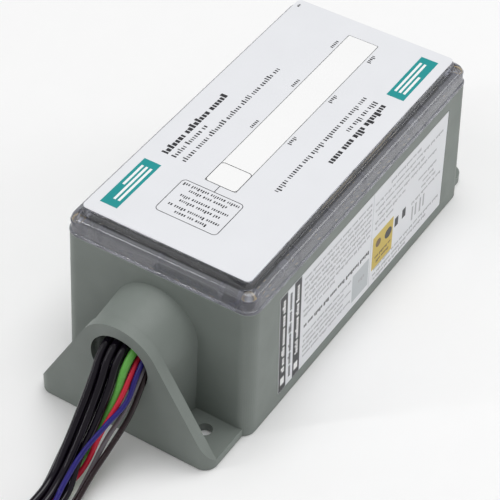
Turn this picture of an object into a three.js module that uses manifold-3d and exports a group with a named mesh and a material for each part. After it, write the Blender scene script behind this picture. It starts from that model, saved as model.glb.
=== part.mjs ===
// Hard-wired surge protective device for a wall or panel: a moulded base with an integral conduit hub,
// a clear cover, a potted varistor assembly and a bundle of loose leads.
// Millimetres, +Z up, the mounting face on z = 0, the conduit hub towards -Y.
import * as THREE from 'three';
import { mergeVertices } from 'three/addons/utils/BufferGeometryUtils.js';
import Module from 'manifold-3d';

// ---- driving dimensions -------------------------------------------------------------------------
const GAP = 0.3; // clearance that separate pieces keep
const BODY_Y = 6.4; // the box's middle, measured from the middle of the mounting footprint
const SEAM_Z = 65.4; // parting line between base and cover
const SEAM_HALF = [44, 86.5]; // half width and half length of the box at the parting line
const FOOT_HALF = [44.6, 89.5]; // the same at the mounting face; the difference is the mould's draft
const WALL = 3;
const END_Y = 106; // both mounting tabs end this far from the origin
const TAB_HALF = 41.7;
const TAB_THICK = 4.2;
const NEAR_CORNER_R = 5.8;
const TAB_HOLE = { x: 29.3, nearY: -90.4, farY: 100.9, r: 3.2 };
const BORE = { z: 39.1, r: 12.9, mouthR: 13.4, mouthDepth: 3 };
const HUB_R = { plate: 18.4, wall: 20.2 };
const PLATE_THICK = 5;
const PLATE_FLANK = { x0: 44.29, slope: 0.572 }; // the flank lines are x = x0 - slope * z
const COVER_TOP_Z = 77.5;
const SHOULDER_Z = 74.1;
const COVER_WALL = 2.4;
const PLATFORM_HALF = [39.3, 81.7];
const LABEL_HALF = [38.8, 81.15];
const WINDOW = { halfX: 7.4, y0: -42, y1: 71 }; // slot in the top label, y from the box's middle
const SIDE_LABEL = { y0: -60.1, y1: 76.3, z0: 6, z1: 59.8 };
const CORNER = { x: 39, y: 81.7, postR: 4.4 }; // screw columns, measured from the box's middle
const BOARD = { z: 57.6, thick: 1.6, half: [39.5, 82] };
const BOARD_BOSS = { x: 38.2, y: 52, r: 3.2, topZ: 57.3 };
const POTTING_TOP_Z = 30;
const VARISTOR = { w: 32, t: 8, h: 33, z0: 24, columns: [-17, 17], rows: [-22, 10, 42, 74] };
const STATUS_ROWS = [61.5, 29.5, -2.5, -35.5]; // lamps under the window, y from the box's middle
const PAD_Z = 57.3; // the leads' ends, just under the circuit board
const SEAL = { y0: -86, y1: -81.5, r: 12.5, slack: 0.25 };

// The leads: diameter, hole in the circuit board, and the [x, z] at which each crosses the stations.
const STATION_Y = [-84, -95, -103, -108, -115, -125, -137, -148, -158];
const LEADS = {
  black_1: {
    d: 3.3,
    pad: [-15, -57],
    across: [[-8.4, 42.9], [-8.3, 42.6], [-8.1, 41], [-7.9, 37.8], [-7.7, 30.4], [-7.2, 19.4], [-6.8, 9.9],
      [-5.8, 4.1], [-5, 1.9]],
  },
  black_2: {
    d: 3.3,
    pad: [-8, -57],
    across: [[-4.2, 43.2], [-4.2, 43.1], [-4, 42.8], [-3.9, 40.2], [-4.4, 33.2], [-4.2, 23.4], [-3.5, 12.6],
      [-2.6, 6.9], [-3.2, 5.3]],
  },
  black_3: {
    d: 3.3,
    pad: [-1, -57],
    across: [[-0.5, 43.4], [-0.5, 43.2], [-0.5, 42], [-0.6, 38.4], [-1, 29.6], [-1.8, 15.6], [-4, 6.2],
      [-2.8, 2.1], [-1.6, 1.8]],
  },
  black_4: {
    d: 3.3,
    pad: [-11.5, -65],
    across: [[-6, 46.8], [-6, 46.8], [-6.3, 46.6], [-6.3, 44.5], [-5.4, 38], [-4.6, 28.6], [-4.1, 17.2],
      [-3, 10.6], [-2.6, 8.9]],
  },
  black_5: {
    d: 3.3,
    pad: [-4.5, -65],
    across: [[-2.1, 48.2], [-2.1, 48.1], [-2.3, 47.4], [-2.4, 45.1], [-1.8, 37.2], [-1.3, 26.4], [-0.6, 16.2],
      [0.5, 10.9], [0.9, 8.4]],
  },
  black_6: {
    d: 3.3,
    pad: [2.5, -65],
    across: [[1.8, 48.2], [1.8, 48], [1.5, 46.9], [1.3, 44], [1.9, 35.2], [1.7, 22.9], [1.6, 12.6],
      [4.1, 6.2], [4, 4.8]],
  },
  green: {
    d: 3.3,
    pad: [6.5, -65],
    across: [[5.3, 47], [5.2, 47], [5.1, 45.7], [4.7, 41.8], [4.4, 30.6], [2.1, 17.2], [-0.4, 5.7],
      [0.8, 1.9], [1.9, 1.8]],
  },
  red: {
    d: 2.2,
    pad: [9.5, -57],
    across: [[6, 43.2], [6.1, 43.2], [6.8, 42.4], [7.4, 39.4], [7.2, 32.2], [4.8, 20.8], [2.9, 7.4],
      [0.8, 4.9], [0.6, 4.8]],
  },
  blue: {
    d: 2.1,
    pad: [12, -65],
    across: [[8.6, 44.6], [8.7, 44.5], [9.3, 43], [9.7, 39.4], [9.6, 31], [7.4, 26.4], [3.2, 17],
      [3.4, 12.2], [4.2, 8]],
  },
  grey: {
    d: 2,
    pad: [14.5, -57],
    across: [[9.4, 41.6], [9.5, 41.6], [9.9, 40], [10, 35.6], [8.6, 25.6], [6.6, 16.8], [5.9, 6.4],
      [6.5, 1.6], [7.3, 1.1]],
  },
  brown: {
    d: 2.4,
    pad: [17, -57],
    across: [[10.2, 38.6], [10.3, 38.5], [10.7, 36.9], [11.1, 32], [10.2, 22.2], [9, 15], [8.3, 9.2],
      [8.2, 3.7], [8.9, 2.8]],
  },
};
// The bundle's middle past the last station: x, y and the heading in degrees, 0 being -Y.
const BUNDLE = [
  [0.1, -167, -14], [-3, -176, -24], [-7, -184, -28], [-11, -192, -24], [-14, -201, -12], [-15, -212, 0],
];
const BUNDLE_X = 1;
const COIL = { x: 30, y: -225, inner: 35.8, outer: 52.9, z0: 0.1, z1: 21.2 };
const TIE = { wide: 5, thick: 1.6 };

// ---- solids ---------------------------------------------------------------------------------------
const wasm = await Module();
wasm.setup();

function toSolid(geometry) {
  const plain = geometry.clone();
  plain.deleteAttribute('normal');
  plain.deleteAttribute('uv');
  const merged = mergeVertices(plain, 1e-4);
  return new wasm.Manifold(new wasm.Mesh({
    numProp: 3,
    vertProperties: new Float32Array(merged.attributes.position.array),
    triVerts: new Uint32Array(merged.index.array),
  }));
}

function toGeometry(solid) {
  const mesh = solid.getMesh();
  const geometry = new THREE.BufferGeometry();
  geometry.setAttribute('position', new THREE.BufferAttribute(new Float32Array(mesh.vertProperties), 3));
  geometry.setIndex(new THREE.BufferAttribute(new Uint32Array(mesh.triVerts), 1));
  geometry.computeVertexNormals();
  return geometry;
}

function joined(first, ...rest) {
  return rest.reduce((solid, geometry) => solid.add(toSolid(geometry)), toSolid(first));
}

function cutBy(solid, ...tools) {
  return tools.reduce((left, geometry) => left.subtract(toSolid(geometry)), solid);
}

// ---- plain shapes -----------------------------------------------------------------------------------
function roundedRect(halfX, halfY, r) {
  const shape = new THREE.Shape();
  shape.absarc(halfX - r, halfY - r, r, 0, Math.PI / 2);
  shape.absarc(r - halfX, halfY - r, r, Math.PI / 2, Math.PI);
  shape.absarc(r - halfX, r - halfY, r, Math.PI, 1.5 * Math.PI);
  shape.absarc(halfX - r, r - halfY, r, 1.5 * Math.PI, 2 * Math.PI);
  shape.closePath();
  return shape;
}

function upright(shape, z0, z1, segments = 5) {
  const settings = { depth: z1 - z0, bevelEnabled: false, curveSegments: segments };
  return new THREE.ExtrudeGeometry(shape, settings).translate(0, 0, z0);
}

// A shape drawn in X and Z, carried along Y from y0 to y1.
function alongY(shape, y0, y1, segments = 10) {
  const settings = { depth: y1 - y0, bevelEnabled: false, curveSegments: segments };
  return new THREE.ExtrudeGeometry(shape, settings).rotateX(Math.PI / 2).translate(0, y1, 0);
}

function block(x0, x1, y0, y1, z0, z1) {
  return new THREE.BoxGeometry(x1 - x0, y1 - y0, z1 - z0)
    .translate((x0 + x1) / 2, (y0 + y1) / 2, (z0 + z1) / 2);
}

function post(x, y, r, z0, z1, segments = 20) {
  return new THREE.CylinderGeometry(r, r, z1 - z0, segments)
    .rotateX(Math.PI / 2)
    .translate(x, y, (z0 + z1) / 2);
}

function barrelAlongY(x, z, r0, r1, y0, y1, segments = 40) {
  return new THREE.CylinderGeometry(r1, r0, y1 - y0, segments)
    .translate(x, (y0 + y1) / 2, z);
}

// The moulding's half sizes at height z, pulled in by inset on every side.
function halfAt(z, inset = 0) {
  const t = z / SEAM_Z;
  return FOOT_HALF.map((foot, i) => foot + (SEAM_HALF[i] - foot) * t - inset);
}

// A tub between two heights that follows the moulding's draft.
function draftedTub(z0, z1, inset, cornerR) {
  const low = halfAt(z0, inset);
  const high = halfAt(z1, inset);
  const geometry = upright(roundedRect(low[0], low[1], cornerR), z0, z1);
  const position = geometry.attributes.position;
  for (let i = 0; i < position.count; i += 1) {
    if (position.getZ(i) > (z0 + z1) / 2) {
      position.setX(i, position.getX(i) * high[0] / low[0]);
      position.setY(i, position.getY(i) * high[1] / low[1]);
    }
  }
  return geometry.translate(0, BODY_Y, 0);
}

const signs = [[1, -1], [1, 1], [-1, 1], [-1, -1]];
const corners = signs.map(([sx, sy]) => [sx * CORNER.x, BODY_Y + sy * CORNER.y]);
const boardBosses = signs.map(([sx, sy]) => [sx * BOARD_BOSS.x, BODY_Y + sy * BOARD_BOSS.y]);

// ---- base housing -----------------------------------------------------------------------------------
// The foot's outline from above, carried up to the given height.
function nearFoot(height) {
  const r = NEAR_CORNER_R;
  const shape = new THREE.Shape();
  shape.moveTo(TAB_HALF, -75);
  shape.lineTo(-TAB_HALF, -75);
  shape.absarc(r - TAB_HALF, r - END_Y, r, Math.PI, 1.5 * Math.PI);
  shape.absarc(TAB_HALF - r, r - END_Y, r, 1.5 * Math.PI, 2 * Math.PI);
  shape.closePath();
  return upright(shape, 0, height, 8);
}

function farTab() {
  const r = 6.5;
  const shape = new THREE.Shape();
  shape.moveTo(-TAB_HALF, 88);
  shape.lineTo(TAB_HALF, 88);
  shape.absarc(TAB_HALF - r, END_Y - r, r, 0, Math.PI / 2);
  shape.absarc(r - TAB_HALF, END_Y - r, r, Math.PI / 2, Math.PI);
  shape.closePath();
  return upright(shape, 0, TAB_THICK);
}

// The front plate: a round head about the bore, two straight flanks and the foot's full width below.
function gussetPlate() {
  const lowZ = (PLATE_FLANK.x0 - TAB_HALF) / PLATE_FLANK.slope;
  const flankAngle = Math.atan(PLATE_FLANK.slope);
  const headR = (PLATE_FLANK.x0 - PLATE_FLANK.slope * BORE.z) * Math.cos(flankAngle);
  const outline = new THREE.Shape();
  outline.moveTo(-TAB_HALF, 0);
  outline.lineTo(TAB_HALF, 0);
  outline.lineTo(TAB_HALF, lowZ);
  outline.absarc(0, BORE.z, headR, flankAngle, Math.PI - flankAngle);
  outline.lineTo(-TAB_HALF, lowZ);
  outline.closePath();
  const plate = toSolid(alongY(outline, -END_Y, PLATE_THICK - END_Y, 24));
  return plate.intersect(toSolid(nearFoot(BORE.z + HUB_R.wall + 10)));
}

// The hub between plate and box: an arch with upright sides that stands on the foot and widens to the wall.
function hubBody() {
  const shape = new THREE.Shape();
  shape.moveTo(-HUB_R.wall, 1);
  shape.lineTo(HUB_R.wall, 1);
  shape.lineTo(HUB_R.wall, BORE.z);
  shape.absarc(0, BORE.z, HUB_R.wall, 0, Math.PI);
  shape.closePath();
  const y0 = PLATE_THICK - END_Y - 1;
  const y1 = -79;
  const geometry = alongY(shape, y0, y1, 24);
  const position = geometry.attributes.position;
  const narrow = HUB_R.plate / HUB_R.wall;
  for (let i = 0; i < position.count; i += 1) {
    if (position.getY(i) < (y0 + y1) / 2) {
      position.setX(i, position.getX(i) * narrow);
      position.setZ(i, Math.min(position.getZ(i), BORE.z + (position.getZ(i) - BORE.z) * narrow));
    }
  }
  return geometry;
}

// Only the part of a boss that lies inside the box may be added to the moulding.
function bossesInside(places, r, topZ) {
  const inside = toSolid(draftedTub(0.5, SEAM_Z, 0.5, 5.5));
  return places.map(([x, y]) => toSolid(post(x, y, r, 1, topZ)).intersect(inside));
}

function baseHousing() {
  let solid = cutBy(toSolid(draftedTub(0, SEAM_Z, 0, 6)), draftedTub(WALL, SEAM_Z + 0.5, WALL, 3));
  for (const boss of bossesInside(corners, CORNER.postR, 60)) solid = solid.add(boss);
  for (const boss of bossesInside(boardBosses, BOARD_BOSS.r, BOARD_BOSS.topZ)) solid = solid.add(boss);
  const boxCore = draftedTub(-1, SEAM_Z + 1, 1, 5);
  solid = solid.add(cutBy(joined(nearFoot(TAB_THICK), hubBody(), farTab()).add(gussetPlate()), boxCore));
  solid = cutBy(
    solid,
    barrelAlongY(0, BORE.z, BORE.r, BORE.r, -END_Y - 5, -70),
    barrelAlongY(0, BORE.z, BORE.mouthR, BORE.mouthR, -END_Y - 5, BORE.mouthDepth - END_Y),
  );
  for (const sx of [-1, 1]) {
    for (const y of [TAB_HOLE.nearY, TAB_HOLE.farY]) {
      solid = cutBy(solid, post(sx * TAB_HOLE.x, y, TAB_HOLE.r, -2, TAB_THICK + 3, 24));
    }
  }
  for (const [x, y] of corners) solid = cutBy(solid, post(x, y, 1.7, -1, 61, 16), post(x, y, 3.2, -1, 6));
  for (const [x, y] of boardBosses) solid = cutBy(solid, post(x, y, 1.2, 50, 60, 12));
  solid = cutBy(solid, gasketSeat(), sideLabelBlank(0.6, 0.3, 0.5));
  return toGeometry(solid);
}

function ring(outerInset, innerInset, z0, z1) {
  const [x, y] = SEAM_HALF;
  const shape = roundedRect(x - outerInset, y - outerInset, 5.5 - outerInset);
  shape.holes.push(roundedRect(x - innerInset, y - innerInset, Math.max(5.5 - innerInset, 1)));
  return upright(shape, z0, z1).translate(0, BODY_Y, 0);
}

function gasketSeat() {
  return ring(1.2, 6, SEAM_Z - 1.4, SEAM_Z + 1);
}

function coverGasket() {
  return ring(1.5, WALL, SEAM_Z - 1.1, SEAM_Z);
}

// ---- clear cover ------------------------------------------------------------------------------------
// One storey of the cover: a rounded slab of half sizes `half` between two heights.
function storey(half, cornerR, z0, z1) {
  return upright(roundedRect(half[0], half[1], cornerR), z0, z1).translate(0, BODY_Y, 0);
}

function clearCover() {
  const [sx, sy] = SEAM_HALF;
  const fillet = 2.4;
  const z0 = SEAM_Z + GAP;
  let solid = toSolid(storey([sx, sy], 5.5, z0, SHOULDER_Z - fillet));
  const steps = 4;
  for (let i = 0; i < steps; i += 1) {
    const low = (i / steps) * Math.PI / 2;
    const high = ((i + 1) / steps) * Math.PI / 2;
    const inLow = fillet * (1 - Math.cos(low));
    const inHigh = fillet * (1 - Math.cos(high));
    const zLow = SHOULDER_Z - fillet + fillet * Math.sin(low);
    const zHigh = SHOULDER_Z - fillet + fillet * Math.sin(high);
    const lowHalf = [sx - inLow, sy - inLow];
    const highHalf = [sx - inHigh, sy - inHigh];
    solid = solid.add(toSolid(taperedStorey(lowHalf, highHalf, 5.5, zLow, zHigh)));
  }
  solid = solid.add(toSolid(storey(PLATFORM_HALF, 2.6, SHOULDER_Z - 1, COVER_TOP_Z)));
  const ceiling = SHOULDER_Z - COVER_WALL;
  let hollow = toSolid(storey([sx - WALL, sy - WALL], 3, z0 - 1, ceiling));
  const under = PLATFORM_HALF.map((half) => half - COVER_WALL);
  hollow = hollow.add(toSolid(storey(under, 1.5, z0 - 1, COVER_TOP_Z - COVER_WALL)));
  for (const web of coverWebs(ceiling)) hollow = hollow.subtract(toSolid(web));
  const cap = toSolid(storey([sx - 0.5, sy - 0.5], 5, z0, ceiling + 0.5));
  for (const [x, y] of corners) {
    hollow = hollow.subtract(toSolid(post(x, y, 4, z0, ceiling + 1)).intersect(cap));
  }
  solid = solid.subtract(hollow);
  solid = cutBy(solid, ...corners.map(([x, y]) => post(x, y, 2.6, z0 - 1, ceiling - 0.5)));
  return toGeometry(solid);
}

function taperedStorey(lowHalf, highHalf, cornerR, z0, z1) {
  const geometry = upright(roundedRect(lowHalf[0], lowHalf[1], cornerR), z0, z1);
  const position = geometry.attributes.position;
  for (let i = 0; i < position.count; i += 1) {
    if (position.getZ(i) > (z0 + z1) / 2) {
      position.setX(i, position.getX(i) * highHalf[0] / lowHalf[0]);
      position.setY(i, position.getY(i) * highHalf[1] / lowHalf[1]);
    }
  }
  return geometry.translate(0, BODY_Y, 0);
}

// Stiffening webs inside the cover's shoulder, at both ends and along both sides.
function coverWebs(ceiling) {
  const half = 1.1;
  const [sx, sy] = SEAM_HALF;
  const webs = [];
  const span = (side, reach) => [side * (reach - 2.5), side * (reach - 6)].sort((a, b) => a - b);
  for (const side of [-1, 1]) {
    for (const x of [-28, 0, 28]) {
      const [y0, y1] = span(side, sy);
      webs.push(block(x - half, x + half, BODY_Y + y0, BODY_Y + y1, 66.5, ceiling + 0.5));
    }
    for (const y of [-51, -25.5, 0, 25.5, 51]) {
      const [x0, x1] = span(side, sx);
      webs.push(block(x0, x1, BODY_Y + y - half, BODY_Y + y + half, 66.5, ceiling + 0.5));
    }
  }
  return webs;
}

// ---- labels -----------------------------------------------------------------------------------------
function topLabel() {
  const shape = roundedRect(LABEL_HALF[0], LABEL_HALF[1], 2.2);
  const slot = roundedRect(WINDOW.halfX, (WINDOW.y1 - WINDOW.y0) / 2, 0.6);
  const middle = (WINDOW.y1 + WINDOW.y0) / 2;
  shape.holes.push(new THREE.Path(slot.getPoints(4).map((p) => new THREE.Vector2(p.x, p.y + middle))));
  return upright(shape, COVER_TOP_Z + GAP, COVER_TOP_Z + 2 * GAP, 4).translate(0, BODY_Y, 0);
}

function indicatorWindow() {
  const half = [WINDOW.halfX - GAP, (WINDOW.y1 - WINDOW.y0) / 2 - GAP];
  const middle = BODY_Y + (WINDOW.y1 + WINDOW.y0) / 2;
  return upright(roundedRect(half[0], half[1], 0.4), COVER_TOP_Z + GAP, COVER_TOP_Z + 2 * GAP, 3)
    .translate(0, middle, 0);
}

// A thin slab that lies on the drafted +X wall, from `deep` under the surface to `proud` above it.
function wallSlab(y0, y1, z0, z1, deep, proud) {
  const geometry = block(-deep, proud, y0, y1, z0, z1);
  const position = geometry.attributes.position;
  for (let i = 0; i < position.count; i += 1) {
    position.setX(i, position.getX(i) + halfAt(position.getZ(i))[0]);
  }
  return geometry;
}

function sideLabelBlank(deep, grow, proud) {
  const s = SIDE_LABEL;
  return wallSlab(s.y0 - grow, s.y1 + grow, s.z0 - grow, s.z1 + grow, deep, proud);
}

// ---- inner works ------------------------------------------------------------------------------------
function pottingCompound() {
  let solid = toSolid(draftedTub(WALL + GAP, POTTING_TOP_Z, WALL + GAP, 3));
  solid = cutBy(
    solid,
    ...corners.map(([x, y]) => post(x, y, CORNER.postR + GAP, 0, 40)),
    ...boardBosses.map(([x, y]) => post(x, y, BOARD_BOSS.r + GAP, 0, 40)),
    ...varistorPlaces().map(([x, y]) => varistorBlock(x, y, GAP)),
  );
  return toGeometry(solid);
}

function varistorPlaces() {
  return VARISTOR.rows.flatMap((y) => VARISTOR.columns.map((x) => [x, y]));
}

function varistorBlock(x, y, grow = 0) {
  const { w, t, h, z0 } = VARISTOR;
  return new THREE.BoxGeometry(w + 2 * grow, t + 2 * grow, h + 2 * grow).translate(x, y, z0 + h / 2);
}

function mainBoard() {
  let solid = toSolid(storey(BOARD.half, 3, BOARD.z, BOARD.z + BOARD.thick));
  solid = cutBy(
    solid,
    ...corners.map(([x, y]) => post(x, y, CORNER.postR + 2 * GAP, 50, 62)),
    ...boardBosses.map(([x, y]) => post(x, y, 1.5, 50, 62, 12)),
  );
  return toGeometry(solid);
}

// A solid turned about the vertical axis from a profile of [radius, z] points.
function turned(profile, segments = 16) {
  const points = profile.map(([r, z]) => new THREE.Vector2(r, z));
  return new THREE.LatheGeometry(points, segments).rotateX(Math.PI / 2);
}

function boardScrew() {
  const top = BOARD.z + BOARD.thick + GAP;
  const head = [[2.6, top], [2.6, top + 1.2], [1.6, top + 1.9], [0, top + 1.9]];
  return turned([[0, 51], [0.85, 51], [0.85, top], ...head]);
}

function coverScrew() {
  return turned([[0, 3.2], [2.6, 3.2], [2.6, 5.7], [1.35, 5.7], [1.35, 70.2], [0, 70.8]]);
}

function coverInsert() {
  return turned([[1.65, 66], [2.3, 66], [2.3, 70.7], [1.65, 70.7], [1.65, 66]], 18);
}

function statusLamp() {
  const foot = BOARD.z + BOARD.thick + GAP;
  const rim = foot + 9;
  const stem = [[0, foot], [2.8, foot], [2.8, foot + 1], [2.4, foot + 1], [2.4, rim]];
  return turned([...stem, [2.05, rim + 1.25], [1.1, rim + 2.1], [0, rim + 2.4]]);
}

function standing(shape, height) {
  const foot = BOARD.z + BOARD.thick + GAP;
  return upright(shape, foot, foot + height, 3);
}

// ---- leads ------------------------------------------------------------------------------------------
// From a lead's hole in the board, a quarter turn down and forward to the height of the hub.
function insidePoints({ pad, across }) {
  const [x1, z1] = across[0];
  const drop = PAD_Z - z1;
  const points = [[0, 0], [0.12, 30], [0.4, 60], [0.75, 86]].map(([share, degrees]) => {
    const angle = THREE.MathUtils.degToRad(degrees);
    const x = pad[0] + (x1 - pad[0]) * share;
    return new THREE.Vector3(x, pad[1] - drop * (1 - Math.cos(angle)), PAD_Z - drop * Math.sin(angle));
  });
  points.push(new THREE.Vector3(x1, Math.min(points[3].y - 4, -77.5), z1));
  return points;
}

// Past the last station the leads keep their places in the bundle and run on together to the coil.
function bundlePoints({ across }) {
  const [x, z] = across.at(-1);
  return BUNDLE.map(([middleX, middleY, heading]) => {
    const angle = THREE.MathUtils.degToRad(heading);
    const offset = x - BUNDLE_X;
    return new THREE.Vector3(middleX + offset * Math.cos(angle), middleY + offset * Math.sin(angle), z);
  });
}

function leadTube(lead) {
  const stations = lead.across.map(([x, z], i) => new THREE.Vector3(x, STATION_Y[i], z));
  const whole = new THREE.CatmullRomCurve3([...insidePoints(lead), ...stations, ...bundlePoints(lead)]);
  const keepOff = COIL.outer + lead.d / 2 + GAP;
  const free = whole.getSpacedPoints(60).filter((p) => Math.hypot(p.x - COIL.x, p.y - COIL.y) > keepOff);
  const section = new THREE.Shape();
  for (let i = 0; i < 8; i += 1) {
    const angle = (i / 8) * 2 * Math.PI;
    section[i ? 'lineTo' : 'moveTo'](lead.d / 2 * Math.cos(angle), lead.d / 2 * Math.sin(angle));
  }
  section.closePath();
  return new THREE.ExtrudeGeometry(section, { steps: 36, extrudePath: new THREE.CatmullRomCurve3(free) });
}

function hubSeal() {
  const disc = toSolid(barrelAlongY(0, BORE.z, SEAL.r, SEAL.r, SEAL.y0, SEAL.y1));
  const holes = Object.values(LEADS).map(({ d, across }) => {
    const r = d / 2 + SEAL.slack;
    return barrelAlongY(across[0][0], across[0][1], r, r, SEAL.y0 - 1, SEAL.y1 + 1, 12);
  });
  return toGeometry(cutBy(disc, ...holes));
}

function leadCoil() {
  const { inner, outer, z0, z1 } = COIL;
  const crown = [[outer, z1 - 4], [outer - 4, z1], [inner + 4, z1], [inner, z1 - 4]];
  const profile = [[inner, z0], [outer, z0], ...crown];
  return turned([...profile, profile[0]], 40);
}

// The tie bridges the coil on its side away from the device.
function coilTie() {
  const inner = COIL.inner - GAP;
  const outer = COIL.outer + GAP;
  const top = COIL.z1 + GAP;
  const outline = (grow, foot) => [
    [outer + grow, foot], [outer + grow, top - 4], [outer - 4, top + grow], [inner + 4, top + grow],
    [inner - grow, top - 4], [inner - grow, foot],
  ];
  const shape = new THREE.Shape();
  const points = [...outline(TIE.thick, 0.4), ...outline(0, 0.4).reverse()];
  points.forEach(([r, z], i) => (i ? shape.lineTo(-r, z) : shape.moveTo(-r, z)));
  shape.closePath();
  return new THREE.ExtrudeGeometry(shape, { depth: TIE.wide, bevelEnabled: false })
    .rotateX(Math.PI / 2)
    .translate(0, TIE.wide / 2, 0)
    .rotateZ(Math.PI / 2);
}

// ---- the assembly -----------------------------------------------------------------------------------
const finish = (color, roughness, metalness = 0) => ({ color, roughness, metalness });
const looks = {
  base: finish(0x747c77, 0.6),
  clear: finish(0xc9cfd0, 0.1),
  gasket: finish(0x2b2d2e, 0.8),
  label: finish(0xe6e7eb, 0.45),
  white: finish(0xffffff, 0.4),
  yellow: finish(0xd9b52e, 0.5),
  potting: finish(0x1d1e20, 0.35),
  board: finish(0x5a5a24, 0.4),
  varistor: finish(0x2f3033, 0.5),
  fuse: finish(0xc8b070, 0.4),
  capacitor: finish(0xc79a2c, 0.4),
  relay: finish(0x25262a, 0.35),
  lamp: finish(0xe8f2e6, 0.2),
  brass: finish(0xb08d3c, 0.35, 1),
  steel: finish(0x9b9da0, 0.35, 1),
  black: finish(0x17151a, 0.3),
  green: finish(0x5f9a4e, 0.3),
  red: finish(0xb83250, 0.3),
  blue: finish(0x3c3f8e, 0.3),
  grey: finish(0x8d8a8c, 0.3),
  brown: finish(0x3d3230, 0.3),
};

const device = new THREE.Group();

function place(name, geometry, look, position = [0, 0, 0]) {
  const mesh = new THREE.Mesh(geometry, new THREE.MeshStandardMaterial(looks[look]));
  mesh.name = name;
  mesh.position.set(...position);
  device.add(mesh);
}

place('base_housing', baseHousing(), 'base');
place('cover_gasket', coverGasket(), 'gasket');
place('clear_cover', clearCover(), 'clear');
place('top_label', topLabel(), 'label');
place('indicator_window', indicatorWindow(), 'white');
place('side_label', sideLabelBlank(0.3, 0, -0.02), 'label');
corners.forEach(([x, y], i) => {
  place(`cover_screw_${i + 1}`, coverScrew(), 'steel', [x, y, 0]);
  place(`cover_insert_${i + 1}`, coverInsert(), 'brass', [x, y, 0]);
});

place('potting_compound', pottingCompound(), 'potting');
place('main_circuit_board', mainBoard(), 'board');
boardBosses.forEach(([x, y], i) => place(`board_screw_${i + 1}`, boardScrew(), 'steel', [x, y, 0]));
varistorPlaces().forEach(([x, y], i) => place(`varistor_${i + 1}`, varistorBlock(x, y), 'varistor'));
STATUS_ROWS.forEach((y, i) => place(`status_lamp_${i + 1}`, statusLamp(), 'lamp', [0, BODY_Y + y, 0]));
const fuseOutline = new THREE.Shape().absarc(0, 0, 4, 0, 2 * Math.PI);
[-14, 18, 50, 82].forEach((y, i) => {
  place(`thermal_disconnect_${i + 1}`, standing(fuseOutline, 11), 'fuse', [-22, y, 0]);
});
[6, 38].forEach((y, i) => {
  place(`filter_capacitor_${i + 1}`, standing(roundedRect(5, 13, 1), 12), 'capacitor', [22, y, 0]);
});
place('alarm_relay', standing(roundedRect(5, 10, 0.8), 10), 'relay', [23, 70, 0]);
place('alarm_sounder', standing(new THREE.Shape().absarc(0, 0, 6, 0, 2 * Math.PI), 8), 'relay', [22, -32, 0]);

place('hub_seal', hubSeal(), 'potting');
for (const [name, lead] of Object.entries(LEADS)) place(`lead_${name}`, leadTube(lead), name.split('_')[0]);
place('lead_coil', leadCoil(), 'black', [COIL.x, COIL.y, 0]);
place('coil_tie', coilTie(), 'black', [COIL.x, COIL.y, 0]);

export default device;
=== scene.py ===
"""Looks of a hard-wired surge protective device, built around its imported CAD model.

Lengths are in mm unless a comment says otherwise; MM turns them into Blender's metres.
"""
import math
import random

import bmesh
import bpy
from mathutils import Matrix, Vector


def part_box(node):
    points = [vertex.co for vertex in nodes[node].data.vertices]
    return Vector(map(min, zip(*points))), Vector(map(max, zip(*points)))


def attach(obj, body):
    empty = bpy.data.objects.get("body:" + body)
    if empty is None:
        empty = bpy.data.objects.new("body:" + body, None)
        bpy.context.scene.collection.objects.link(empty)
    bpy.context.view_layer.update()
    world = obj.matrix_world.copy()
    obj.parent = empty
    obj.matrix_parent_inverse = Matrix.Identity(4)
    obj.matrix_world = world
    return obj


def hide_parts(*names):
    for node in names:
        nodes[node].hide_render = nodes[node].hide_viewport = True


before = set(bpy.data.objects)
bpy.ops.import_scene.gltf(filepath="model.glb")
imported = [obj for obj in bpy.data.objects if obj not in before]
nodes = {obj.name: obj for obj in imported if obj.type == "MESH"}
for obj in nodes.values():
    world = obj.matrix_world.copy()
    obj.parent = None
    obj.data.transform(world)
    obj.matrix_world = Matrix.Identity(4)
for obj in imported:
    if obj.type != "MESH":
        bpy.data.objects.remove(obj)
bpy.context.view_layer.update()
MM = 0.001
BODY_Y = 6.4  # the box's middle in Y
SEAM_Z = 65.4  # height of the parting line between base and cover
SEAM_HALF = (44, 86.5)  # half the box's width and length at that line
FOOT_X = 44.6  # half its width at the bottom
BORE_Z = 39.1  # height of the hub's axis

# ---- camera and floor ----------------------------------------------------------------------------
CAMERA_PLACE = (300.93, -500.17, 572.59)
CAMERA_TURN = (46.294, -0.978, 32.581)  # degrees
CAMERA_LENS = 135.7
SENSOR_WIDTH = 36
FLOOR_HALF, FLOOR_Z = 6, -0.0003  # metres

# ---- colours, linear -----------------------------------------------------------------------------
HOUSING = (0.205, 0.231, 0.213)
CLEAR = (0.60, 0.61, 0.67)
# Painted shade: the webs and screw bosses inside the cover are the same clear plastic, darkened with this
# colour to show the dark lines seen along them through the wall
CLEAR_INSIDE_SHADED = (0.16, 0.16, 0.19)
FILM = (0.80, 0.81, 0.84)
INK = (0.02, 0.02, 0.024)
TEAL = (0.0, 0.29, 0.295)
WHITE = (0.93, 0.93, 0.93)
GREY_INK = (0.42, 0.42, 0.44)
YELLOW = (0.62, 0.46, 0.07)
BLACK_LEAD = (0.006, 0.0035, 0.0085)
LEAD_COLOURS = {
    "green": (0.14, 0.46, 0.08),
    "red": (0.62, 0.015, 0.045),
    "blue": (0.018, 0.012, 0.17),
    "grey": (0.16, 0.145, 0.16),
    "brown": (0.022, 0.011, 0.013),
}

# ---- the leads, as in the CAD model --------------------------------------------------------------
PAD_Z = 57.3  # the holes in the circuit board
HOLE_BEND = [(0, 0), (0.12, 30), (0.4, 60), (0.75, 86)]  # share of the way across, and degrees turned
LEVEL_Y = -77.5  # from here on the leads run level, into the hub
STATION_Y = [-84, -95, -103, -108, -115, -125, -137, -148, -158]
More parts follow.
